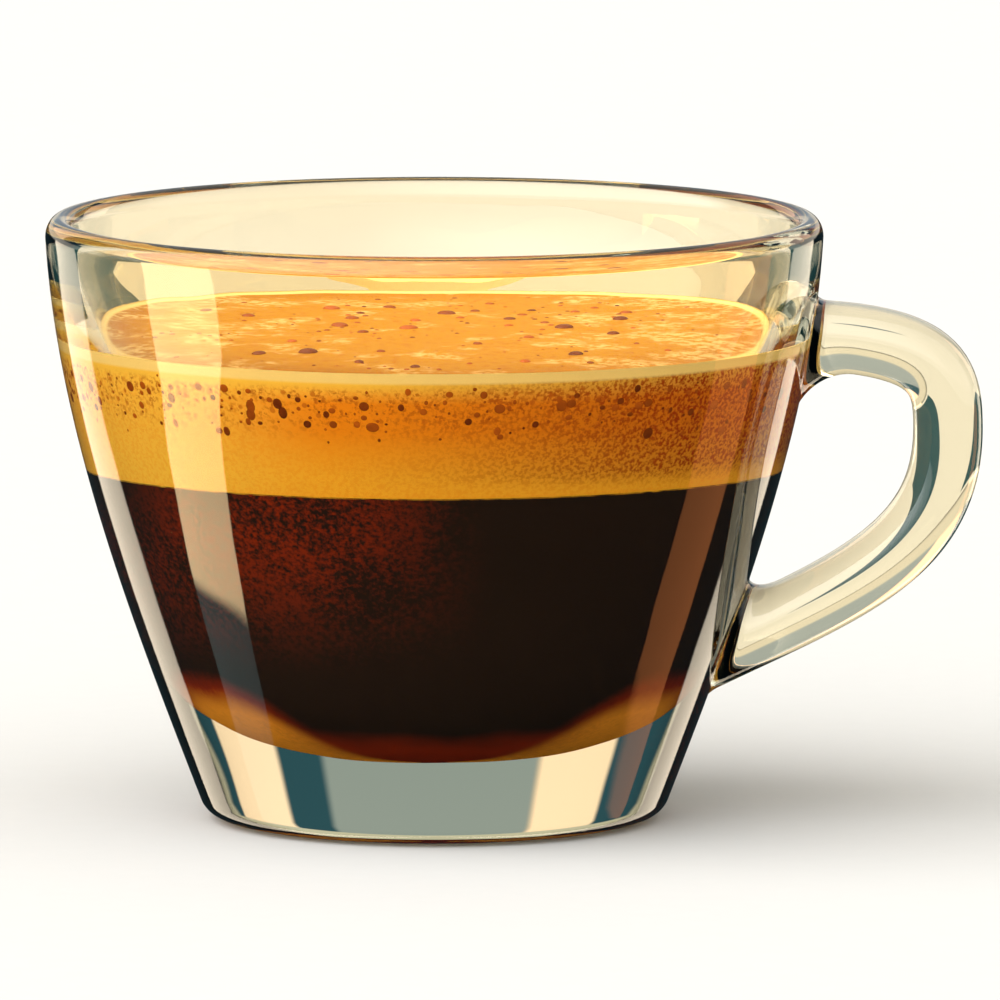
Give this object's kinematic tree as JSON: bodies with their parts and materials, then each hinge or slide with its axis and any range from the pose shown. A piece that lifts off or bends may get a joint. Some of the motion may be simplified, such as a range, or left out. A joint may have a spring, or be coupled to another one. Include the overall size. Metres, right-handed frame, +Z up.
{
  "type": "double espresso",
  "caption": "Double espresso in a clear tapered glass cup with a heavy base and a fused bar handle, dark coffee under a thick golden layer of crema.",
  "frame": {"origin": "centre of the cup's flat underside, on the cup's axis", "axes": "+Z up along the cup's axis, +X towards the handle, so the side view of the handle looks along +Y"},
  "size_m": [0.0795, 0.066, 0.0513],
  "materials": {
    "clear_glass": "clear, polished, faintly warm",
    "coffee": "dark brown liquid seen through glass",
    "crema": "golden foam with darker bubbles"
  },
  "bodies": {
    "root": {"glass_cup": "clear_glass", "coffee": "coffee", "crema": "crema"}
  },
  "joints": []
}
